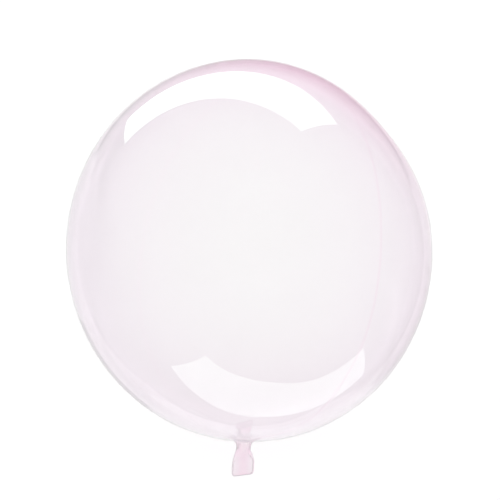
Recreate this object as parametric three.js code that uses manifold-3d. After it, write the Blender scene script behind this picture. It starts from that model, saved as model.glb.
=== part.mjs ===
// A clear bubble balloon: one sealed bubble of pale pink film, full of air, that is drawn in to a
// gathered neck and ends in a flat welded tail. It lies loose on the floor, resting on a small flat
// spot, with its neck drooping to the front. Millimetres, +Z up.
//
// The balloon is drawn in its own frame first: +z runs from the neck to the crown, and the seam,
// which goes right round the bubble through crown and neck, lies in its xz plane.

import * as THREE from "three";
import Module from "manifold-3d";

const wasm = await Module();
wasm.setup();

const DEGREE = Math.PI / 180;

// The inflated bubble. The stiff seam holds it in, so it swells a little more to each side of it.
const SEAM_RADIUS = 226;
const SIDE_RADIUS = 234.5; // square to the seam
const HALF_LENGTH = 241; // from the centre to the crown
const SEAM_DIP = 0.002; // share of the radius lost in the crease along the seam
const SEAM_DIP_ANGLE = 4.5 * DEGREE; // how fast the crease fades to each side

// The broad shoulder that the seam pulls flat, placed by its angle from the crown and its angle round
// the axis from the seam's front half
const SHOULDER = { lean: 48 * DEGREE, turn: 25 * DEGREE, depth: 0.023, spread: 22 * DEGREE };

// The gathered neck
const FLARE_RADIUS = 32; // where the bubble starts to turn out into the neck
const NECK_RADIUS = 9.5;
const NECK_DROP = 8; // from the closed end of the bubble down to the straight of the neck
const GATHER_COUNT = 20;
const GATHER_DEPTH = 1.3; // at the neck
const GATHER_REACH = 20; // distance from the neck over which the gathers fade to a third

// The flat tail. Drops are measured along the axis from where the bubble would close.
const PINCH_DROP = 12;
const PINCH_RADIUS = 8.6;
const SPREAD_DROP = 20; // where the pinched film has half opened out into the flat tail
const SPREAD_HALF_WIDTH = 13;
const SPREAD_HALF_THICKNESS = 4.5;
const FLAT_DROP = 28;
const TAIL_DROP = 45;
const TAIL_HALF_WIDTH = 17.5;
const TAIL_HALF_THICKNESS = 1.5;
const TAIL_CORNER = 3;

// How it lies
const DROOP = 47 * DEGREE; // the neck, below level
const SEAM_TURN = -40.2 * DEGREE; // the seam's front half, round the axis from the right-hand side
const REST_DEPTH = 3; // how far the floor presses the film flat

// Facets
const MERIDIANS = 4 * GATHER_COUNT;
const BUBBLE_RINGS = 42;
const FLARE_RINGS = 5;
const PINCH_RINGS = 7;

const film = new THREE.MeshStandardMaterial({
  name: "clear_pink_film",
  color: 0xf6e6ee,
  roughness: 0.05,
  metalness: 0,
  transparent: true,
  opacity: 0.35,
});

// A unit vector at an angle from the crown and an angle round the axis.
function direction(lean, turn) {
  const out = Math.sin(lean);
  return new THREE.Vector3(out * Math.cos(turn), out * Math.sin(turn), Math.cos(lean));
}

// The share of its plain ellipsoid distance that a point of the film keeps. The neck isn't pulled in.
function tautness(point) {
  const way = point.clone().normalize();
  const offSeam = Math.asin(Math.abs(way.y));
  const crease = SEAM_DIP * Math.exp(-offSeam / SEAM_DIP_ANGLE);
  const offShoulder = way.angleTo(direction(SHOULDER.lean, SHOULDER.turn)) / SHOULDER.spread;
  const flattening = SHOULDER.depth * Math.exp(-offShoulder * offShoulder);
  const beside = Math.hypot(point.x, point.y);
  const free = point.z > 0 ? 1 : THREE.MathUtils.smoothstep(beside, FLARE_RADIUS, 3 * FLARE_RADIUS);
  return 1 - free * (crease + flattening);
}

// One ring of the skin: its half sizes along the seam's plane and square to it, and the depth to which
// it is pressed flat.
function station(halfWidth, reach, halfDepth, z, normal, gather) {
  return { halfWidth, reach, halfDepth, z, normal, gather };
}

// The stations along a profile curve of radius, in the seam's plane, against height.
function roundStations(curve, count) {
  const made = [];
  for (let i = 1; i <= count; i++) {
    const { x: radius, y: z } = curve.getPoint(i / count);
    const tangent = curve.getTangent(i / count);
    const normal = new THREE.Vector2(-tangent.y, tangent.x);
    const swell = THREE.MathUtils.smoothstep(radius, NECK_RADIUS, 2 * FLARE_RADIUS);
    const reach = radius * THREE.MathUtils.lerp(1, SIDE_RADIUS / SEAM_RADIUS, z > 0 ? 1 : swell);
    const outside = (radius - NECK_RADIUS) / GATHER_REACH;
    const gather = z < 0 ? GATHER_DEPTH * Math.exp(-outside) : 0;
    made.push(station(radius, reach, reach + GATHER_DEPTH, z, normal, gather));
  }
  return made;
}

// The stations from the round neck through the pinch to the end of the flat tail.
function tailStations(neckZ) {
  const down = (drop) => -HALF_LENGTH - drop;
  const pinchAndSpread = new THREE.CatmullRomCurve3([
    new THREE.Vector3(NECK_RADIUS, NECK_RADIUS + GATHER_DEPTH, neckZ),
    new THREE.Vector3(PINCH_RADIUS, PINCH_RADIUS, down(PINCH_DROP)),
    new THREE.Vector3(SPREAD_HALF_WIDTH, SPREAD_HALF_THICKNESS, down(SPREAD_DROP)),
    new THREE.Vector3(TAIL_HALF_WIDTH, TAIL_HALF_THICKNESS, down(FLAT_DROP)),
  ]);
  const sideways = new THREE.Vector2(1, 0);
  const made = [];
  for (let i = 1; i <= PINCH_RINGS; i++) {
    const share = i / PINCH_RINGS;
    const { x: halfWidth, y: halfDepth, z } = pinchAndSpread.getPoint(share);
    made.push(station(halfWidth, PINCH_RADIUS, halfDepth, z, sideways, GATHER_DEPTH * (1 - share)));
  }
  const cornerZ = down(TAIL_DROP - TAIL_CORNER);
  const tail = (halfWidth, z) =>
    station(halfWidth, PINCH_RADIUS, TAIL_HALF_THICKNESS, z, sideways, 0);
  made.push(tail(TAIL_HALF_WIDTH, cornerZ));
  made.push(tail(TAIL_HALF_WIDTH - TAIL_CORNER, down(TAIL_DROP)));
  return made;
}

// A point of the skin on one station, at an angle round the axis.
function skinPoint({ halfWidth, reach, halfDepth, z, normal, gather }, turn) {
  const pleat = gather * Math.cos(GATHER_COUNT * turn);
  const across = (halfWidth + pleat * normal.x) * Math.cos(turn);
  const deep = (reach + pleat * normal.x) * Math.sin(turn);
  const point = new THREE.Vector3(
    across,
    THREE.MathUtils.clamp(deep, -halfDepth, halfDepth),
    z + pleat * normal.y,
  );
  return point.multiplyScalar(tautness(point));
}

// The whole closed skin: a fan at the crown, a band between each two stations, a fan at the tail's end.
function skinGeometry() {
  const flareLean = Math.PI - Math.asin(FLARE_RADIUS / SEAM_RADIUS);
  const round = new THREE.EllipseCurve(
    0,
    0,
    SEAM_RADIUS,
    HALF_LENGTH,
    Math.PI / 2,
    Math.PI / 2 - flareLean,
    true,
  );
  const flareStart = round.getPoint(1);
  const flareWay = round.getTangent(1);
  const neckZ = -HALF_LENGTH - NECK_DROP;
  const cornerZ = flareStart.y + ((FLARE_RADIUS - NECK_RADIUS) * flareWay.y) / -flareWay.x;
  const flare = new THREE.QuadraticBezierCurve(
    flareStart,
    new THREE.Vector2(NECK_RADIUS, cornerZ),
    new THREE.Vector2(NECK_RADIUS, neckZ),
  );
  const stations = [
    ...roundStations(round, BUBBLE_RINGS),
    ...roundStations(flare, FLARE_RINGS),
    ...tailStations(neckZ),
  ];
  const crown = new THREE.Vector3(0, 0, HALF_LENGTH);
  const points = [crown.clone().multiplyScalar(tautness(crown))];
  for (const ring of stations) {
    for (let m = 0; m < MERIDIANS; m++) {
      points.push(skinPoint(ring, (2 * Math.PI * m) / MERIDIANS));
    }
  }
  points.push(new THREE.Vector3(0, 0, -HALF_LENGTH - TAIL_DROP));
  const end = points.length - 1;
  const faces = [];
  for (let m = 0; m < MERIDIANS; m++) {
    const next = (m + 1) % MERIDIANS;
    faces.push(0, 1 + m, 1 + next);
    for (let r = 1; r < stations.length; r++) {
      const upper = 1 + (r - 1) * MERIDIANS;
      const lower = upper + MERIDIANS;
      faces.push(upper + m, lower + m, lower + next);
      faces.push(upper + m, lower + next, upper + next);
    }
    const last = end - MERIDIANS;
    faces.push(last + m, end, last + next);
  }
  return new THREE.BufferGeometry().setFromPoints(points).setIndex(faces);
}

// The same geometry without what lies below a plane, which is square to upward and at that offset.
function trimmed(geometry, upward, offset) {
  const solid = new wasm.Manifold(
    new wasm.Mesh({
      numProp: 3,
      vertProperties: geometry.getAttribute("position").array,
      triVerts: new Uint32Array(geometry.index.array),
    }),
  );
  const { vertProperties, triVerts } = solid.trimByPlane(upward.toArray(), offset).getMesh();
  const cut = new THREE.BufferGeometry();
  cut.setAttribute("position", new THREE.BufferAttribute(vertProperties, 3));
  cut.setIndex(new THREE.BufferAttribute(triVerts, 1));
  cut.computeVertexNormals();
  return cut;
}

const posed = new THREE.Euler(DROOP - Math.PI / 2, 0, SEAM_TURN);
const up = new THREE.Vector3(0, 0, 1).applyQuaternion(
  new THREE.Quaternion().setFromEuler(posed).invert(),
);
const reachDown = Math.hypot(SEAM_RADIUS * up.x, SIDE_RADIUS * up.y, HALF_LENGTH * up.z);
const centreHeight = reachDown - REST_DEPTH;

const bubble = new THREE.Mesh(trimmed(skinGeometry(), up, -centreHeight), film);
bubble.name = "film_bubble";
bubble.rotation.copy(posed);
bubble.position.z = centreHeight;

const balloon = new THREE.Group();
balloon.name = "clear_bubble_balloon";
balloon.add(bubble);

export default balloon;
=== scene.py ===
"""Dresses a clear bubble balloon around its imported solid.

The balloon is one bubble of thin, pale pink film. A welded seam goes right round it, it is drawn in
to a gathered neck, and it ends in a flat welded tail. It lies loose on a white floor with the neck
drooping to the front, under one large soft light. Everything is in metres, in the frame of the
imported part.
"""

import logging
import math
from dataclasses import dataclass, field
from enum import Enum

import bmesh
import bpy
import numpy as np
from mathutils import Euler, Matrix, Vector

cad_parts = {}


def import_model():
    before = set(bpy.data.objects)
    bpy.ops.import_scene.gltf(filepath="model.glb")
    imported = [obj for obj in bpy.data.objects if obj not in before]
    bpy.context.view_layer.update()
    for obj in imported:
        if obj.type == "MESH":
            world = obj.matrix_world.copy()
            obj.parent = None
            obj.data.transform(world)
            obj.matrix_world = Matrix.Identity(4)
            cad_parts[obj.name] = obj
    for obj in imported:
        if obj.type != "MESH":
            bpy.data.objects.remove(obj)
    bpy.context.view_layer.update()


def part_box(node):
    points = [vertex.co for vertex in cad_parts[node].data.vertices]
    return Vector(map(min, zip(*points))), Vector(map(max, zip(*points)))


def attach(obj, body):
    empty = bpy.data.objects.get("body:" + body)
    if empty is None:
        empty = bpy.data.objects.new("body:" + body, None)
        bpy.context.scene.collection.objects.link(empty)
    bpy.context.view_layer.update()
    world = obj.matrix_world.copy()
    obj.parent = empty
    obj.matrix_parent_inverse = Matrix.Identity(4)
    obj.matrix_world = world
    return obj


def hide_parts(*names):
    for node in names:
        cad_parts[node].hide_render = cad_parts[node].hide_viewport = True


LOG = logging.getLogger("clear_bubble_balloon")

FILM_NODE = "film_bubble"
FILM_SLOT = "clear_pink_film"

TINY = 1e-6  # far below any size or share here

Colour = tuple[float, float, float]


class Tint(Enum):
    """The layers on the film that say where it holds more dye, and where shade is painted on its left
    side.
    """

    CROWN = "crown_tint"
    SIDE = "painted_side_shade"
    FULL = "full_tint"


class Reach(Enum):
    """The measures that place the patches of the mirrored room.

    All but AHEAD are slopes, against the way that the camera looks. The last three are taken from
    slanting lines through the middle: how far right of the line to the lower right, how far right of
    the steep line to the lower left, and how far above the shallow line to the lower left.
    """

    AHEAD = "ahead"
    ACROSS = "across"
    ABOVE = "above"
    ASIDE = "aside"
    PAST_RIGHT_LINE = "past_right_line"
    PAST_LEFT_LINE = "past_left_line"
    OVER_LOW_LINE = "over_low_line"


def deselect_all() -> None:
    """Leave object mode with nothing selected, so that the next operator acts on its own piece."""
    if bpy.context.mode != "OBJECT":
        bpy.ops.object.mode_set(mode="OBJECT")
    bpy.ops.object.select_all(action="DESELECT")


def fade(values: np.ndarray, start: float, end: float) -> np.ndarray:
    """Smooth step from 0 at start to 1 at end.

    Args:
        values: The values to ease.
        start: Where the step begins.
        end: Where it is complete. It may lie below start.

    Returns:
        The eased values, between 0 and 1.
    """
    share = np.clip((values - start) / (end - start), 0.0, 1.0)
    return share * share * (3.0 - 2.0 * share)


def curve_through(values: np.ndarray, stations: tuple[tuple[float, float], ...]) -> np.ndarray:
    """Read a smooth curve that passes through some stations.

    Args:
        values: Where to read it.
        stations: Pairs of a value and the curve's height there, in rising order.

    Returns:
        The height at each value.
    """
    places, heights = np.array(stations, dtype=float).T
    slopes = np.gradient(heights, places)
    start = np.clip(np.searchsorted(places, values) - 1, 0, len(places) - 2)
    width = places[start + 1] - places[start]
    share = np.clip((values - places[start]) / width, 0.0, 1.0)
    rise = heights[start + 1] - heights[start]
    first = slopes[start] * width - rise
    second = rise - slopes[start + 1] * width
    bend = share * (1.0 - share) * ((1.0 - share) * first + share * second)
    return heights[start] + share * rise + bend


def direction(lean: float, turn: float) -> np.ndarray:
    """A unit vector in the balloon's own frame.

    Args:
        lean: Angle from the crown, in radians.
        turn: Angle round the axis from the seam's front half, in radians.

    Returns:
        The vector.
    """
    out = math.sin(lean)
    return np.array([out * math.cos(turn), out * math.sin(turn), math.cos(lean)])


def angles_from(way: np.ndarray, points: np.ndarray) -> np.ndarray:
    """How far points lie from a direction, as seen from the bubble's centre.

    Args:
        way: A unit vector.
        points: Points, one a row.

    Returns:
        One angle in radians for each point.
    """
    ways = points / np.linalg.norm(points, axis=1, keepdims=True)
    return np.arccos(np.clip(ways @ way, -1.0, 1.0))


@dataclass(frozen=True)
class BalloonForm:
    """The balloon's driving sizes and the way it lies.

    Its own frame has +z from the neck to the crown, and the seam in the xz plane.
    """

    seam_radius: float = 0.226
    side_radius: float = 0.2345
    half_length: float = 0.241
    seam_dip: float = 0.002
    seam_dip_angle: float = math.radians(4.5)
    shoulder_lean: float = math.radians(48.0)
    shoulder_turn: float = math.radians(25.0)
    shoulder_depth: float = 0.023
    shoulder_spread: float = math.radians(22.0)
    flare_radius: float = 0.032
    flare_reach: float = 0.096
    neck_radius: float = 0.0095
    neck_drop: float = 0.008
    droop: float = math.radians(47.0)
    seam_turn: float = math.radians(-40.2)

    def turned(self) -> Matrix:
        """The rotation from the balloon's own frame to the part's frame."""
        drooped = Matrix.Rotation(self.droop - math.pi / 2, 3, "X")
        return drooped @ Matrix.Rotation(self.seam_turn, 3, "Z")

    def half_height(self) -> float:
        """How far the plain bubble reaches above and below its centre as it lies.

        Returns:
            The distance in metres.
        """
        up = self.turned().transposed() @ Vector((0.0, 0.0, 1.0))
        radii = (self.seam_radius, self.side_radius, self.half_length)
        return math.hypot(*(radius * share for radius, share in zip(radii, up)))

    def centre(self) -> Vector:
        """The bubble's centre in the part's frame: below the top of the solid, over its origin."""
        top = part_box(FILM_NODE)[1]
        return Vector((0.0, 0.0, top.z - self.half_height()))

    def tautness(self, points: np.ndarray, beside_seam: np.ndarray) -> np.ndarray:
        """The share of its plain distance from the centre that the seam lets each point keep.

        Args:
            points: Points in the balloon's own frame, one a row.
            beside_seam: How far each point lies from the seam.

        Returns:
            One share for each point.
        """
        off_seam = np.arcsin(np.clip(beside_seam / np.linalg.norm(points, axis=1), 0.0, 1.0))
        crease = self.seam_dip * np.exp(-off_seam / self.seam_dip_angle)
        off_shoulder = angles_from(direction(self.shoulder_lean, self.shoulder_turn), points)
        flattening = self.shoulder_depth * np.exp(-((off_shoulder / self.shoulder_spread) ** 2))
        beside = np.hypot(points[:, 0], points[:, 1])
        neck_free = fade(beside, self.flare_radius, self.flare_reach)
        free = np.where(points[:, 2] > 0, 1.0, neck_free)
        return 1.0 - free * (crease + flattening)

    def laid_down(self, points: np.ndarray) -> np.ndarray:
        """Points of the balloon's own frame moved to where the balloon lies.

        Args:
            points: Points in the balloon's own frame, one a row.

        Returns:
            The same points in the part's frame.
        """
        return points @ np.array(self.turned()).T + np.array(self.centre())

    def flare_top(self) -> float:
        """The height at which the bubble starts to turn out into its neck."""
        return self.flare(1)[0][1]

    def flare(self, steps: int) -> list[tuple[float, float]]:
        """The curve that turns the bubble out into its neck.

        Args:
            steps: How many rings to make.

        Returns:
            The radius and height of each ring, from the bubble's edge down to the neck.
        """
        ratio = self.flare_radius / self.seam_radius
        upright = math.sqrt(1.0 - ratio**2)
        start = -self.half_length * upright
        slope = self.half_length * ratio / (self.seam_radius * upright)
        corner = start - slope * (self.flare_radius - self.neck_radius)
        end = -self.half_length - self.neck_drop
        rings = []
        for step in range(steps + 1):
            done = step / steps
            left = 1.0 - done
            radius = self.flare_radius * left**2 + self.neck_radius * (1 - left**2)
            height = start * left**2 + 2 * corner * done * left + end * done**2
            rings.append((radius, height))
        return rings


@dataclass(frozen=True)
class TailForm:
    """The pinched neck below the flare, and the flat tail. Drops are from where the bubble would close."""

    pinch_drop: float = 0.012
    pinch_radius: float = 0.0086
    spread_drop: float = 0.020
    spread_half_width: float = 0.013
    spread_half_thickness: float = 0.0045
    flat_drop: float = 0.028
    end_drop: float = 0.0448
    half_width: float = 0.0173
    half_thickness: float = 0.0013
    corner: float = 0.003
    weld_width: float = 0.0022
    weld_core: float = 0.6

    def sizes(self, form: BalloonForm, drops: np.ndarray) -> tuple[np.ndarray, np.ndarray]:
        """Half width and half thickness at some drops.

        Args:
            form: The balloon's sizes.
            drops: Distances below where the bubble would close.

        Returns:
            The half widths and the half thicknesses there.
        """
        stations = np.array(
            [
                (form.neck_drop, form.neck_radius, form.neck_radius),
                (self.pinch_drop, self.pinch_radius, self.pinch_radius),
                (self.spread_drop, self.spread_half_width, self.spread_half_thickness),
                (self.flat_drop, self.half_width, self.half_thickness),
                (self.end_drop - self.corner, self.half_width, self.half_thickness),
                (self.end_drop, self.half_width - self.corner, self.half_thickness),
            ]
        )
        half_widths = np.interp(drops, stations[:, 0], stations[:, 1])
        half_depths = np.interp(drops, stations[:, 0], stations[:, 2])
        return half_widths, half_depths


@dataclass(frozen=True)
class SeamCourse:
    """How the seam strays from its plane: degrees round the axis, against degrees from the crown.

    The blown film pulls it a little aside, most of all where it is gathered in to the neck.
    """

    front: tuple[tuple[float, float], ...] = (
        (0.0, -8.0),
        (50.0, -8.6),
        (75.0, -6.8),
        (100.0, -4.2),
        (130.0, 2.0),
        (145.0, 7.0),
        (160.0, 18.0),
        (172.0, 30.0),
        (180.0, 32.0),
    )
    back: tuple[tuple[float, float], ...] = (
        (0.0, -8.0),
        (30.0, -4.0),
        (75.0, -5.0),
        (120.0, -9.0),
        (150.0, -18.0),
        (180.0, -22.0),
    )

    def stray(self, points: np.ndarray, turns: np.ndarray) -> np.ndarray:
        """How far to move points round the axis.

        Args:
            points: Points in the balloon's own frame, one a row.
            turns: Their angles round the axis from the seam's plane, in radians.

        Returns:
            One angle in radians for each point.
        """
        leans = np.degrees(np.arctan2(np.hypot(points[:, 0], points[:, 1]), points[:, 2]))
        ahead = 0.5 + 0.5 * np.cos(turns)
        front = curve_through(leans, self.front)
        return np.radians(front * ahead + curve_through(leans, self.back) * (1.0 - ahead))


@dataclass(frozen=True)
class DyeAndShadePatch:
    """A broad patch that fades to every side: more dye in the film, and for the side patch painted shade
    instead.

    It is placed by degrees from the crown and degrees round the axis from the seam's front half.
    """

    lean: float
    turn: float
    spread: float
    strength: float = 1.0

    def share(self, points: np.ndarray) -> np.ndarray:
        """How much the patch adds: dye, and for the side patch painted shade.

        Args:
            points: Points in the balloon's own frame, one a row.

        Returns:
            One share for each point.
        """
        middle = direction(math.radians(self.lean), math.radians(self.turn))
        off = angles_from(middle, points) / math.radians(self.spread)
        return self.strength * np.exp(-(off**2))


@dataclass(frozen=True)
class Ripple:
    """Slow unevenness of the blown film: two plane waves that cross on the bubble.

    Each wave has its turns along x, y and z, in radians for each radius, and where it starts.
    """

    height: float
    first: tuple[float, float, float, float]
    second: tuple[float, float, float, float]

    def over(self, places: np.ndarray) -> np.ndarray:
        """The height of the ripple.

        Args:
            places: Points in radii of the bubble, one a row.

        Returns:
            One height for each point.
        """
        first = np.sin(places @ self.first[:3] + self.first[3])
        return self.height * first * np.sin(places @ self.second[:3] + self.second[3])


@dataclass
class FilmSkin:
    """The bubble, its welded seam, its gathered neck and its tail, as one skin of thin film.

    The weld's offsets are how far the columns of points beside the seam lie from it. Each row of gathers
    has a number of pleats round the neck, their share of the depth and where they start.
    """

    form: BalloonForm
    tail: TailForm = field(default_factory=TailForm)
    course: SeamCourse = field(default_factory=SeamCourse)
    wall: float = 0.0002
    inset: float = 0.00025
    segments: int = 280
    rings: int = 140
    flare_rings: int = 10
    tail_rings: int = 20
    weld_offsets: tuple[float, ...] = (0.0, 0.0010, 0.0018, 0.0026, 0.0045)
    weld_half_width: float = 0.0018
    weld_edge: float = 0.5
    weld_height: float = 0.00012
    gather_depth: float = 0.0004
    gather_reach: float = 0.020
    gathers: tuple[tuple[int, float, float], ...] = ((20, 0.6, 0.0), (33, 0.25, 1.3), (47, 0.15, 0.4))
    wave_depth: float = 0.00015
    ripples: tuple[Ripple, ...] = (
        Ripple(1.0, (9.0, 0.0, 4.0, 0.7), (0.0, 7.0, -5.0, 0.0)),
        Ripple(0.6, (0.0, 3.0, 15.0, 1.9), (11.0, -2.0, 0.0, 0.4)),
    )
    squash_reach: float = 0.050
    floor_gap: float = 0.0002
    crown_blush: DyeAndShadePatch = DyeAndShadePatch(17.0, 28.0, 40.0)
    low_blush: DyeAndShadePatch = DyeAndShadePatch(106.0, 53.0, 40.0, 0.12)
    # Painted shade: greys the film over a broad patch on its left side, standing in for the darker edge
    # that the light leaves there.
    side_painted_shade: DyeAndShadePatch = DyeAndShadePatch(100.0, -125.0, 45.0, 0.12)
    neck_blush: DyeAndShadePatch = DyeAndShadePatch(180.0, 0.0, 3.0, 0.14)
    neck_haze: DyeAndShadePatch = DyeAndShadePatch(180.0, 0.0, 12.0, 0.004)
    tail_paler: float = 0.035
    weld_tint_front: float = 0.09
    weld_tint_back: float = 0.04

    def build(self) -> bpy.types.Object:
        """Model the skin: a sphere, opened at the neck, drawn down ring by ring and shaped.

        Returns:
            The skin, lying in its place.
        """
        deselect_all()
        bpy.ops.mesh.primitive_uv_sphere_add(segments=self.segments, ring_count=self.rings, radius=1.0)
        skin = bpy.context.active_object
        skin.name = "film_skin"
        skin.data.name = "film_skin"
        bpy.ops.object.mode_set(mode="EDIT")
        radii = (self.form.seam_radius, self.form.side_radius, self.form.half_length)
        bpy.ops.transform.resize(value=radii)
        self._open_neck(skin)
        self._draw_down(skin)
        bpy.ops.object.mode_set(mode="OBJECT")
        self._shape(skin)
        self._give_wall(skin)
        return skin

    def _open_neck(self, skin: bpy.types.Object) -> None:
        """Cut the closed end off where the flare begins.

        Args:
            skin: The skin, in edit mode.
        """
        flare_top = self.form.flare_top()
        mesh = bmesh.from_edit_mesh(skin.data)
        for vertex in mesh.verts:
            vertex.select = vertex.co.z < flare_top
        mesh.select_flush_mode()
        bmesh.update_edit_mesh(skin.data)
        bpy.ops.mesh.delete(type="VERT")

    def _draw_down(self, skin: bpy.types.Object) -> None:
        """Draw the open edge down through the flare, the neck and the tail, and close its end.

        Args:
            skin: The skin, in edit mode.
        """
        mesh = bmesh.from_edit_mesh(skin.data)
        for edge in mesh.edges:
            edge.select = edge.is_boundary
        mesh.select_flush_mode()
        open_edge = [vertex.co for vertex in mesh.verts if vertex.select]
        height = open_edge[0].z
        across = max(place.x for place in open_edge)
        deep = max(place.y for place in open_edge)
        bmesh.update_edit_mesh(skin.data)
        drops = np.linspace(self.form.neck_drop, self.tail.end_drop, self.tail_rings + 1)[1:]
        rings = self.form.flare(self.flare_rings)
        rings += [(self.form.neck_radius, -self.form.half_length - drop) for drop in drops]
        for radius, ring_height in rings:
            bpy.ops.mesh.extrude_edges_move(
                TRANSFORM_OT_translate={"value": (0.0, 0.0, ring_height - height)}
            )
            bpy.ops.transform.resize(
                value=(radius / across, radius / deep, 1.0),
                center_override=(0.0, 0.0, ring_height),
            )
            height = ring_height
            across = deep = radius
        bpy.ops.mesh.edge_face_add()

    def _shape(self, skin: bpy.types.Object) -> None:
        """Draw the seam's edges together, gather the neck, flatten the tail, tauten and lay it down.

        Args:
            skin: The skin, as drawn down.
        """
        points, beside_seam = self._seam_columns(read_points(skin))
        drops = -points[:, 2] - self.form.half_length
        turns = np.arctan2(points[:, 1], points[:, 0])
        weld = self._weld(beside_seam, drops)
        in_tail = drops > self.form.neck_drop - TINY
        half_widths, half_depths = self.tail.sizes(self.form, drops)
        points[in_tail, 0] *= half_widths[in_tail] / self.form.neck_radius
        points[in_tail, 1] = np.clip(points[:, 1], -half_depths, half_depths)[in_tail]
        weld = np.maximum(weld, self._tail_weld(points, drops, half_widths) * in_tail)
        write_points(skin, points)
        face_outwards(skin)

        neck = np.array([0.0, 0.0, -self.form.half_length - self.form.neck_drop])
        away = np.linalg.norm(points - neck, axis=1) - self.form.neck_radius
        reach = np.exp(-np.maximum(away, 0.0) / self.gather_reach) * (points[:, 2] < 0)
        reach *= 1.0 - fade(drops, self.form.neck_drop, self.tail.spread_drop)
        pleats = sum(share * np.cos(count * turns + phase) for count, share, phase in self.gathers)
        lift = self.gather_depth * reach * (pleats - 1.0) + self.weld_height * (weld - 1.0)
        lift -= self.inset + self._waves(points)
        points += read_normals(skin) * lift[:, None]
        self._paint(skin, points, drops, weld)
        points *= self.form.tautness(points, beside_seam)[:, None]
        write_points(skin, self._set_down(self.form.laid_down(points)))

    def _seam_columns(self, points: np.ndarray) -> tuple[np.ndarray, np.ndarray]:
        """Move the columns of points beside the seam in to the edges of its weld, and lead them along it.

        Args:
            points: Points in the balloon's own frame, in even columns round the axis.

        Returns:
            The points, each still on its ring, and how far each lies from the seam.
        """
        in_flare = points[:, 2] < self.form.flare_top() - TINY
        round_ring = np.hypot(points[:, 0], points[:, 1])
        oval = points[:, :2] / (self.form.seam_radius, self.form.side_radius)
        share = np.hypot(oval[:, 0], oval[:, 1])
        across = np.where(in_flare, round_ring, share * self.form.seam_radius)
        deep = np.where(in_flare, round_ring, share * self.form.side_radius)
        turn = np.arctan2(points[:, 1] * across, points[:, 0] * deep)
        from_seam = np.abs(np.arcsin(np.clip(np.sin(turn), -1.0, 1.0)))
        step = 2.0 * math.pi / self.segments
        column = np.rint(from_seam / step).astype(int)
        kept = len(self.weld_offsets) - 1
        offsets = np.array(self.weld_offsets)[np.minimum(column, kept)]
        tight = np.arcsin(np.clip(offsets / np.maximum(deep, TINY), 0.0, 1.0))
        tight = np.minimum(tight, np.minimum(column, kept) * step)
        quarter = self.segments // 4
        spread = np.clip((column - kept) / (quarter - kept), 0.0, 1.0)
        beside = np.where(column <= kept, tight, tight + spread * (math.pi / 2 - tight))
        turn = np.arctan2(np.sin(beside) * np.sign(turn), np.cos(beside) * np.sign(np.cos(turn)))
        drops = -points[:, 2] - self.form.half_length
        twisted = 1.0 - fade(drops, self.form.neck_drop, self.tail.spread_drop)
        turn += self.course.stray(points, turn) * twisted
        moved = np.column_stack((across * np.cos(turn), deep * np.sin(turn), points[:, 2]))
        at_crown = share < TINY
        moved[at_crown] = points[at_crown]
        return moved, deep * np.sin(beside)

    def _weld(self, beside_seam: np.ndarray, drops: np.ndarray) -> np.ndarray:
        """Where the two halves of the bubble are welded together.

        Args:
            beside_seam: How far each point lies from the seam.
            drops: Its distance below where the bubble would close.

        Returns:
            1 on the weld and 0 off it, for each point.
        """
        core = (1.0 - self.weld_edge) * self.weld_half_width
        end = (1.0 + self.weld_edge) * self.weld_half_width
        weld = 1.0 - fade(beside_seam, core, end)
        return weld * (1.0 - fade(drops, self.tail.pinch_drop, self.tail.spread_drop))

    def _tail_weld(self, points: np.ndarray, drops: np.ndarray, half_widths: np.ndarray) -> np.ndarray:
        """Where the tail is welded along its edges and its end.

        Args:
            points: Points in the balloon's own frame, with the tail flat.
            drops: Their distances below where the bubble would close.
            half_widths: The tail's half width at each point.

        Returns:
            1 on the weld and 0 off it, for each point.
        """
        width = self.tail.weld_width
        from_edge = np.minimum(half_widths - np.abs(points[:, 0]), self.tail.end_drop - drops)
        weld = 1.0 - fade(from_edge, self.tail.weld_core * width, width)
        return weld * fade(drops, self.tail.pinch_drop, self.tail.spread_drop)

    def _waves(self, points: np.ndarray) -> np.ndarray:
        """Slow unevenness of the blown film, always inwards.

        Args:
            points: Points in the balloon's own frame.

        Returns:
            How far each point lies inside the true form.
        """
        wave = sum(ripple.over(points / self.form.side_radius) for ripple in self.ripples)
        highest = sum(ripple.height for ripple in self.ripples)
        return self.wave_depth * (1.0 + wave / highest) / 2.0

    def _set_down(self, points: np.ndarray) -> np.ndarray:
        """Rest the skin on the floor, which presses its lowest part nearly flat.

        Args:
            points: Points in the part's frame.

        Returns:
            The same points, none below the floor.
        """
        lowest = points[np.argmin(points[:, 2])]
        beside = np.hypot(points[:, 0] - lowest[0], points[:, 1] - lowest[1])
        near_floor = np.exp(-((beside / self.squash_reach) ** 2)) * (points[:, 2] < self.form.centre().z)
        points[:, 2] += (self.floor_gap - lowest[2]) * near_floor
        points[:, 2] = np.maximum(points[:, 2], self.floor_gap)
        return points

    def _paint(
        self, skin: bpy.types.Object, points: np.ndarray, drops: np.ndarray, weld: np.ndarray
    ) -> None:
        """Store how much dye the film holds: broadly over the crown, fully at neck, tail and weld, and
        where shade is painted on its left side.

        Args:
            skin: The skin.
            points: Its points in the balloon's own frame.
            drops: Their distances below where the bubble would close.
            weld: Where it is welded.
        """
        crown = np.maximum(self.crown_blush.share(points), self.low_blush.share(points))
        write_layer(skin, Tint.CROWN, crown)
        # Painted shade on the left side of the film, stored beside the dye layers.
        write_layer(skin, Tint.SIDE, self.side_painted_shade.share(points))
        neck = self.neck_blush.share(points) + self.neck_haze.share(points)
        tail = self.tail_paler * fade(drops, self.tail.pinch_drop, self.tail.flat_drop)
        front = fade(points[:, 0], -self.form.flare_radius, self.form.flare_radius)
        weld_tint = self.weld_tint_back + front * (self.weld_tint_front - self.weld_tint_back)
        write_layer(skin, Tint.FULL, np.clip(neck - tail + weld_tint * weld, 0.0, 1.0))

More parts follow.
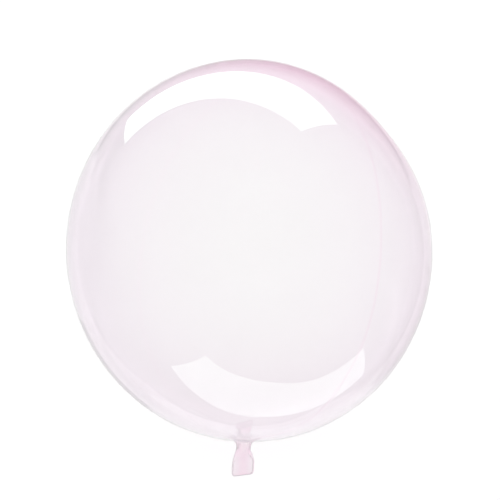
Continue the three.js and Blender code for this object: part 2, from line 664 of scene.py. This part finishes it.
    def _give_wall(self, skin: bpy.types.Object) -> None:
        """Turn the faces outwards, give the film its wall, inside the skin, and shade it smooth.

        Args:
            skin: The shaped skin.
        """
        face_outwards(skin)
        bpy.ops.object.modifier_add(type="SOLIDIFY")
        wall = skin.modifiers[-1]
        wall.thickness = self.wall
        wall.offset = -1.0
        bpy.ops.object.modifier_apply(modifier=wall.name)
        bpy.ops.object.shade_smooth()


def read_points(piece: bpy.types.Object) -> np.ndarray:
    """The piece's vertices.

    Args:
        piece: The piece.

    Returns:
        Their places, one a row.
    """
    values = np.empty(3 * len(piece.data.vertices))
    piece.data.vertices.foreach_get("co", values)
    return values.reshape(-1, 3)


def read_normals(piece: bpy.types.Object) -> np.ndarray:
    """The piece's vertex normals.

    Args:
        piece: The piece.

    Returns:
        The normals, one a row.
    """
    values = np.empty(3 * len(piece.data.vertices))
    piece.data.vertices.foreach_get("normal", values)
    return values.reshape(-1, 3)


def write_points(piece: bpy.types.Object, points: np.ndarray) -> None:
    """Put each vertex of the piece at its new place."""
    piece.data.vertices.foreach_set("co", points.ravel())
    piece.data.update()


def write_layer(piece: bpy.types.Object, tint: Tint, shares: np.ndarray) -> None:
    """Store one share for each vertex of the piece.

    Args:
        piece: The piece.
        tint: The layer to write.
        shares: The shares, from 0 to 1.
    """
    layer = piece.data.attributes.new(tint.value, "FLOAT", "POINT")
    layer.data.foreach_set("value", shares.astype(np.float32))


def face_outwards(piece: bpy.types.Object) -> None:
    """Turn every face of the piece to the outside and leave the piece alone selected.

    Args:
        piece: The piece.
    """
    deselect_all()
    piece.select_set(True)
    bpy.context.view_layer.objects.active = piece
    bpy.ops.object.mode_set(mode="EDIT")
    bpy.ops.mesh.select_all(action="SELECT")
    bpy.ops.mesh.normals_make_consistent(inside=False)
    bpy.ops.object.mode_set(mode="OBJECT")


@dataclass
class Graph:
    """A shader node tree with short ways to add and join the nodes used here."""

    tree: bpy.types.NodeTree

    def node(self, kind: str) -> bpy.types.Node:
        """Add a node of a kind."""
        return self.tree.nodes.new(kind)

    def join(self, source: bpy.types.NodeSocket, target: bpy.types.NodeSocket) -> None:
        """Lead one socket to another."""
        self.tree.links.new(source, target)

    def math(
        self,
        operation: str,
        first: bpy.types.NodeSocket | float,
        second: bpy.types.NodeSocket | float = 0.0,
    ) -> bpy.types.NodeSocket:
        """One sum on one or two values.

        Args:
            operation: Its name in the Math node.
            first: A socket or a number.
            second: A socket or a number.

        Returns:
            The result's socket.
        """
        node = self.node("ShaderNodeMath")
        node.operation = operation
        for slot, value in zip(node.inputs, (first, second)):
            if isinstance(value, bpy.types.NodeSocket):
                self.join(value, slot)
            else:
                slot.default_value = value
        return node.outputs[0]

    def mix(
        self,
        share: bpy.types.NodeSocket,
        first: bpy.types.NodeSocket | Colour | float,
        second: bpy.types.NodeSocket | Colour | float,
    ) -> bpy.types.NodeSocket:
        """Blend two colours, or two numbers.

        Args:
            share: How much of the second shows.
            first: A socket, a colour or a number.
            second: A socket or another of the same kind.

        Returns:
            The blend's socket.
        """
        coloured = isinstance(first, tuple) or getattr(first, "type", "") == "RGBA"
        node = self.node("ShaderNodeMix")
        node.data_type = "RGBA" if coloured else "FLOAT"
        self.join(share, node.inputs["Factor"])
        for name, value in (("A", first), ("B", second)):
            if isinstance(value, bpy.types.NodeSocket):
                self.join(value, node.inputs[name])
            else:
                node.inputs[name].default_value = (*value, 1.0) if coloured else value
        return node.outputs["Result"]

    def product(self, *values: bpy.types.NodeSocket) -> bpy.types.NodeSocket:
        """Multiply some values together.

        Args:
            values: Two sockets or more.

        Returns:
            The product's socket.
        """
        whole = values[0]
        for value in values[1:]:
            whole = self.math("MULTIPLY", whole, value)
        return whole

    def step(self, value: bpy.types.NodeSocket, start: float, end: float) -> bpy.types.NodeSocket:
        """A smooth step from 0 at start to 1 at end.

        Args:
            value: What steps.
            start: Where the step begins.
            end: Where it is complete. It may lie below start.

        Returns:
            The step's socket.
        """
        node = self.node("ShaderNodeMapRange")
        node.interpolation_type = "SMOOTHSTEP"
        rising = start < end
        node.inputs["From Min"].default_value = min(start, end)
        node.inputs["From Max"].default_value = max(start, end)
        node.inputs["To Min"].default_value = 0.0 if rising else 1.0
        node.inputs["To Max"].default_value = 1.0 if rising else 0.0
        self.join(value, node.inputs["Value"])
        return node.outputs["Result"]

    def along(self, way: bpy.types.NodeSocket, axis: Vector) -> bpy.types.NodeSocket:
        """How far a vector reaches along an axis.

        Args:
            way: The vector's socket.
            axis: A unit vector.

        Returns:
            The distance's socket.
        """
        node = self.node("ShaderNodeVectorMath")
        node.operation = "DOT_PRODUCT"
        self.join(way, node.inputs[0])
        node.inputs[1].default_value = axis
        return node.outputs["Value"]


@dataclass(frozen=True)
class ClearFilm:
    """Thin, glossy, see-through pink film. It looks pinker at a slant, and most of all at the crown, and
    painted shade greys it on its left side.
    """

    name: str = FILM_SLOT
    plain: Colour = (0.989, 0.979, 0.984)
    slanted: Colour = (0.98, 0.90, 0.972)
    side_shade_grey: Colour = (0.84, 0.79, 0.85)
    dyed: Colour = (0.96, 0.42, 0.70)
    facing_blend: float = 0.5
    crown_gain: float = 2.1
    crown_power: float = 4.0
    shadow: Colour = (0.99, 0.985, 0.9875)
    roughness: float = 0.015
    ior: float = 1.5

    def build(self) -> bpy.types.Material:
        """Make the material.

        Returns:
            The material.
        """
        material = bpy.data.materials.new(self.name)
        material.use_nodes = True
        material.node_tree.nodes.clear()
        graph = Graph(material.node_tree)
        film = graph.node("ShaderNodeBsdfPrincipled")
        film.inputs["Roughness"].default_value = self.roughness
        film.inputs["IOR"].default_value = self.ior
        film.inputs["Transmission Weight"].default_value = 1.0
        film.inputs["Metallic"].default_value = 0.0
        graph.join(self._colour(graph), film.inputs["Base Color"])
        shade = graph.node("ShaderNodeBsdfTransparent")
        shade.inputs["Color"].default_value = (*self.shadow, 1.0)
        light_path = graph.node("ShaderNodeLightPath")
        chosen = graph.node("ShaderNodeMixShader")
        graph.join(light_path.outputs["Is Shadow Ray"], chosen.inputs["Fac"])
        graph.join(film.outputs["BSDF"], chosen.inputs[1])
        graph.join(shade.outputs["BSDF"], chosen.inputs[2])
        output = graph.node("ShaderNodeOutputMaterial")
        graph.join(chosen.outputs["Shader"], output.inputs["Surface"])
        return material

    def _colour(self, graph: Graph) -> bpy.types.NodeSocket:
        """The colour that the film gives to what shows through it.

        Args:
            graph: The material's nodes.

        Returns:
            The colour's socket.
        """
        facing = graph.node("ShaderNodeLayerWeight")
        facing.inputs["Blend"].default_value = self.facing_blend
        slant = facing.outputs["Facing"]
        crown = self._layer(graph, Tint.CROWN)
        steep = graph.math("POWER", slant, self.crown_power)
        crown_share = graph.math("MULTIPLY", graph.math("MULTIPLY", crown, steep), self.crown_gain)
        share = graph.math("MAXIMUM", crown_share, self._layer(graph, Tint.FULL))
        tinted = graph.mix(slant, self.plain, self.slanted)
        # Painted shade: the side layer greys the film on its left side.
        tinted = graph.mix(self._layer(graph, Tint.SIDE), tinted, self.side_shade_grey)
        return graph.mix(share, tinted, self.dyed)

    def _layer(self, graph: Graph, tint: Tint) -> bpy.types.NodeSocket:
        """Read one of the film's layers.

        Args:
            graph: The material's nodes.
            tint: The layer.

        Returns:
            Its socket.
        """
        layer = graph.node("ShaderNodeAttribute")
        layer.attribute_name = tint.value
        return layer.outputs["Fac"]


@dataclass(frozen=True)
class View:
    """Where the camera stands: in front of the lying balloon, on its neck's side, looking down on it."""

    target: Vector
    azimuth: float = math.radians(2.6)
    elevation: float = math.radians(25.0)
    distance: float = 2.07
    half_width: float = 0.3150
    sensor_width: float = 36.0
    farthest: float = 100.0

    def turn(self) -> Euler:
        """The camera's rotation."""
        return Euler((math.pi / 2 - self.elevation, 0.0, self.azimuth))

    def axes(self) -> tuple[Vector, Vector, Vector]:
        """The directions to the right, up and forwards as the camera sees them."""
        right, up, back = self.turn().to_matrix().transposed()
        return right, up, -back

    def build(self) -> None:
        """Place the camera and make it the scene's."""
        data = bpy.data.cameras.new("camera")
        data.sensor_width = self.sensor_width
        data.lens = 0.5 * self.sensor_width * self.distance / self.half_width
        data.clip_end = self.farthest
        camera = bpy.data.objects.new("camera", data)
        bpy.context.scene.collection.objects.link(camera)
        camera.rotation_euler = self.turn()
        camera.location = self.target - self.axes()[2] * self.distance
        bpy.context.scene.camera = camera


@dataclass(frozen=True)
class Patch:
    """A soft-edged patch of the mirrored room, with its brightness or how much it adds.

    Each edge has a measure, the value where the patch begins and the value where it is full.
    """

    amount: float
    edges: tuple[tuple[Reach, float, float], ...]

    def share(self, graph: Graph, reaches: dict[Reach, bpy.types.NodeSocket]) -> bpy.types.NodeSocket:
        """How fully the patch shows.

        Args:
            graph: The nodes to add to.
            reaches: The socket of each measure.

        Returns:
            The share's socket.
        """
        return graph.product(*(graph.step(reaches[reach], start, end) for reach, start, end in self.edges))


@dataclass(frozen=True)
class MirroredRoom:
    """The room as the film mirrors it: grey walls, and a bright screen ahead with patches of its own.

    A later patch covers an earlier one. A shade stands right ahead, and spreads to the lower left.
    """

    grey: float = 0.46
    far_wall: Patch = Patch(0.63, ((Reach.AHEAD, 0.3, 0.85),))
    low_wall: Patch = Patch(0.70, ((Reach.ABOVE, -0.3, -0.9), (Reach.AHEAD, -0.1, 0.5)))
    left_wall: Patch = Patch(
        0.79, ((Reach.ACROSS, -0.7, -1.1), (Reach.ABOVE, 0.8, 0.6), (Reach.AHEAD, 0.2, 0.6))
    )
    high_wall: Patch = Patch(
        0.74, ((Reach.ASIDE, 1.1, 0.7), (Reach.ABOVE, 0.30, 0.45), (Reach.AHEAD, 0.45, 0.7))
    )
    lamp_glow: Patch = Patch(
        0.85, ((Reach.ASIDE, 0.8, 0.4), (Reach.ABOVE, 0.8, 1.2), (Reach.AHEAD, 0.45, 0.7))
    )
    screen: float = 0.80
    screen_middle: Patch = Patch(0.97, ((Reach.AHEAD, 0.75, 0.98),))
    screen_left: Patch = Patch(0.955, ((Reach.ACROSS, -0.1, -0.45),))
    screen_foot: Patch = Patch(0.98, ((Reach.ABOVE, -0.15, -0.55),))
    screen_dim: Patch = Patch(0.80, ((Reach.PAST_RIGHT_LINE, 0.02, 0.16), (Reach.ABOVE, 0.05, -0.12)))
    screen_edges: tuple[float, float, float, float] = (-1.1, 0.84, -1.38, 0.30)
    screen_rise: Patch = Patch(0.12, ((Reach.ACROSS, -0.45, -0.75),))
    screen_blur: float = 0.03
    in_front: Patch = Patch(1.0, ((Reach.AHEAD, 0.0, 0.02),))
    least_ahead: float = 1e-3
    shade: float = 0.77
    shade_ahead: tuple[float, float] = (0.945, 0.98)
    shade_spread: Patch = Patch(
        0.078, ((Reach.PAST_LEFT_LINE, -0.02, -0.1), (Reach.OVER_LOW_LINE, -0.01, -0.06))
    )
    right_line_lean: float = 0.75
    left_line_lean: float = 0.5
    low_line_lean: float = 0.3

    def brightness(self, graph: Graph, view: View) -> bpy.types.NodeSocket:
        """How bright the room is, whichever way one looks.

        Args:
            graph: The world's nodes.
            view: The camera, which the screen stands square to.

        Returns:
            The brightness socket.
        """
        reaches = self._reaches(graph, view)
        walls = self.grey
        for wall in (self.far_wall, self.low_wall, self.left_wall, self.high_wall, self.lamp_glow):
            walls = graph.mix(wall.share(graph, reaches), walls, wall.amount)
        screen = self.screen
        for patch in (self.screen_middle, self.screen_left, self.screen_foot, self.screen_dim):
            screen = graph.mix(patch.share(graph, reaches), screen, patch.amount)
        seen = graph.mix(self._on_screen(graph, reaches), walls, screen)
        spread = graph.math("MULTIPLY", self.shade_spread.share(graph, reaches), self.shade_spread.amount)
        shaded = graph.math("ADD", reaches[Reach.AHEAD], spread)
        return graph.mix(graph.step(shaded, *self.shade_ahead), seen, self.shade)

    def _reaches(self, graph: Graph, view: View) -> dict[Reach, bpy.types.NodeSocket]:
        """Take every measure of the way that one looks.

        Args:
            graph: The world's nodes.
            view: The camera.

        Returns:
            The socket of each measure.
        """
        way = graph.node("ShaderNodeTexCoord").outputs["Generated"]
        right, up, forwards = view.axes()
        ahead = graph.along(way, forwards)
        before = graph.math("MAXIMUM", ahead, self.least_ahead)
        across = graph.math("DIVIDE", graph.along(way, right), before)
        above = graph.math("DIVIDE", graph.along(way, up), before)
        right_line = graph.math("MULTIPLY", above, self.right_line_lean)
        left_line = graph.math("MULTIPLY", above, self.left_line_lean)
        low_line = graph.math("MULTIPLY", across, self.low_line_lean)
        return {
            Reach.AHEAD: ahead,
            Reach.ACROSS: across,
            Reach.ABOVE: above,
            Reach.ASIDE: graph.math("ABSOLUTE", across),
            Reach.PAST_RIGHT_LINE: graph.math("ADD", across, right_line),
            Reach.PAST_LEFT_LINE: graph.math("SUBTRACT", across, left_line),
            Reach.OVER_LOW_LINE: graph.math("SUBTRACT", above, low_line),
        }

    def _on_screen(
        self, graph: Graph, reaches: dict[Reach, bpy.types.NodeSocket]
    ) -> bpy.types.NodeSocket:
        """Where the screen stands: it rises a little at its left end.

        Args:
            graph: The world's nodes.
            reaches: The socket of each measure.

        Returns:
            The socket of the share that the screen covers.
        """
        left_edge, right_edge, foot, top = self.screen_edges
        blur = self.screen_blur
        across = reaches[Reach.ACROSS]
        above = reaches[Reach.ABOVE]
        rise = graph.math("MULTIPLY", self.screen_rise.share(graph, reaches), self.screen_rise.amount)
        return graph.product(
            graph.step(across, left_edge - blur, left_edge + blur),
            graph.step(across, right_edge + blur, right_edge - blur),
            graph.step(above, foot - blur, foot + blur),
            graph.step(graph.math("SUBTRACT", above, rise), top + blur, top - blur),
            self.in_front.share(graph, reaches),
        )


@dataclass
class Studio:
    """A white floor in even light, one large soft light, and the grey room that the film mirrors.

    The softbox's place is measured from the view's target.
    """

    view: View
    mirrored_room: MirroredRoom = field(default_factory=MirroredRoom)
    floor_size: float = 24.0
    floor_drop: float = 0.0004
    paper: Colour = (0.86, 0.86, 0.86)
    overhead_size: float = 40.0
    overhead_height: float = 9.0
    overhead_brightness: float = 1.44
    box_place: Vector = field(default_factory=lambda: Vector((-0.507, 2.681, 2.2)))
    box_across: Vector = field(default_factory=lambda: Vector((0.909, -0.291, 0.297)))
    box_down: Vector = field(default_factory=lambda: Vector((0.404, 0.789, -0.463)))
    box_size: tuple[float, float] = (5.88, 1.96)
    box_brightness: float = 1.33
    box_colour: Colour = (0.81, 1.11, 0.90)
    pale_wall: float = 0.93
    bounces: int = 32
    glossy_bounces: int = 16

    def build(self) -> None:
        """Set up the floor, the lights, the room and the colour handling."""
        self._floor()
        self._softbox()
        self._overhead()
        self._room()
        self._exposure()

    def _floor(self) -> None:
        """Lay the floor just below the balloon."""
        deselect_all()
        bpy.ops.mesh.primitive_plane_add(size=self.floor_size)
        floor = bpy.context.active_object
        floor.name = "studio_floor"
        bpy.ops.transform.translate(value=(0.0, 0.0, -self.floor_drop))
        bpy.ops.object.transform_apply(location=True, rotation=True, scale=True)
        floor.data.materials.append(self._paper())

    def _paper(self) -> bpy.types.Material:
        """Matt white paper, clear from below. The film mirrors the room in its place, not the paper.

        Returns:
            The material.
        """
        material = bpy.data.materials.new("studio_paper")
        material.use_nodes = True
        material.node_tree.nodes.clear()
        graph = Graph(material.node_tree)
        paper = graph.node("ShaderNodeBsdfDiffuse")
        paper.inputs["Color"].default_value = (*self.paper, 1.0)
        clear = graph.node("ShaderNodeBsdfTransparent")
        chosen = graph.node("ShaderNodeMixShader")
        from_below = graph.node("ShaderNodeNewGeometry").outputs["Backfacing"]
        unseen = graph.math("MAXIMUM", self._mirrored(graph), from_below)
        graph.join(unseen, chosen.inputs["Fac"])
        graph.join(paper.outputs["BSDF"], chosen.inputs[1])
        graph.join(clear.outputs["BSDF"], chosen.inputs[2])
        output = graph.node("ShaderNodeOutputMaterial")
        graph.join(chosen.outputs["Shader"], output.inputs["Surface"])
        return material

    def _mirrored(self, graph: Graph) -> bpy.types.NodeSocket:
        """1 for light that the film has mirrored, and 0 for light that comes straight through it.

        Args:
            graph: The nodes to add to.

        Returns:
            The value's socket.
        """
        light_path = graph.node("ShaderNodeLightPath")
        return graph.math("MINIMUM", light_path.outputs["Glossy Depth"], 1.0)

    def _area(self, name: str, size: tuple[float, float], brightness: float) -> bpy.types.Object:
        """A rectangular light of a given brightness.

        Args:
            name: Its name.
            size: Its width and height.
            brightness: How bright it looks, where 1 is white.

        Returns:
            The light's object.
        """
        light = bpy.data.lights.new(name, "AREA")
        light.shape = "RECTANGLE"
        light.size, light.size_y = size
        light.energy = brightness * math.pi * size[0] * size[1]
        lamp = bpy.data.objects.new(name, light)
        bpy.context.scene.collection.objects.link(lamp)
        return lamp

    def _softbox(self) -> None:
        """Hang the large soft light behind and above, where both bright arcs on the film show it.

        It isn't seen straight through the film.
        """
        lamp = self._area("softbox", self.box_size, self.box_brightness)
        across = self.box_across.normalized()
        away = across.cross(self.box_down).normalized()
        if away.dot(self.box_place) < 0:
            away.negate()
        basis = Matrix((across, away.cross(across), away)).transposed()
        place = Matrix.Translation(self.view.target + self.box_place)
        lamp.matrix_world = place @ basis.to_4x4()
        lamp.data.color = self.box_colour
        lamp.data.use_nodes = True
        lamp.data.node_tree.nodes.clear()
        graph = Graph(lamp.data.node_tree)
        light = graph.node("ShaderNodeEmission")
        graph.join(self._mirrored(graph), light.inputs["Strength"])
        output = graph.node("ShaderNodeOutputLight")
        graph.join(light.outputs["Emission"], output.inputs["Surface"])
        lamp.visible_camera = False
        lamp.visible_diffuse = False

    def _overhead(self) -> None:
        """Spread even light on the floor from above. The film doesn't mirror it."""
        size = (self.overhead_size, self.overhead_size)
        lamp = self._area("overhead_diffuser", size, self.overhead_brightness)
        lamp.location = (0.0, self.overhead_height / 2, self.overhead_height)
        lamp.visible_camera = False
        lamp.visible_glossy = False
        lamp.visible_transmission = False
        lamp.data.cycles.use_multiple_importance_sampling = False

    def _room(self) -> None:
        """Surround the balloon with a pale wall, and with the grey room that the film mirrors."""
        world = bpy.data.worlds.new("studio_room")
        bpy.context.scene.world = world
        world.use_nodes = True
        world.node_tree.nodes.clear()
        world.cycles_visibility.diffuse = False
        graph = Graph(world.node_tree)
        room = self.mirrored_room.brightness(graph, self.view)
        shown = graph.mix(self._mirrored(graph), self.pale_wall, room)
        background = graph.node("ShaderNodeBackground")
        graph.join(shown, background.inputs["Color"])
        output = graph.node("ShaderNodeOutputWorld")
        graph.join(background.outputs["Background"], output.inputs["Surface"])

    def _exposure(self) -> None:
        """Show colours as they are, and follow light through many layers of film."""
        scene = bpy.context.scene
        scene.view_settings.view_transform = "Standard"
        scene.view_settings.look = "None"
        scene.cycles.use_denoising = True
        scene.cycles.caustics_reflective = False
        scene.cycles.caustics_refractive = False
        scene.cycles.max_bounces = self.bounces
        scene.cycles.glossy_bounces = self.glossy_bounces
        scene.cycles.transmission_bounces = self.bounces
        scene.cycles.transparent_max_bounces = self.bounces


def main() -> None:
    logging.basicConfig(level=logging.INFO, format="%(message)s")
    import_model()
    form = BalloonForm()

    skin = FilmSkin(form).build()
    skin.data.materials.append(ClearFilm().build())
    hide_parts(FILM_NODE)
    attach(skin, "root")
    LOG.info("film_skin: %d faces", len(skin.data.polygons))

    view = View(form.centre())
    Studio(view).build()
    view.build()
    LOG.info("studio and camera placed")


if __name__ == "__main__":
    main()
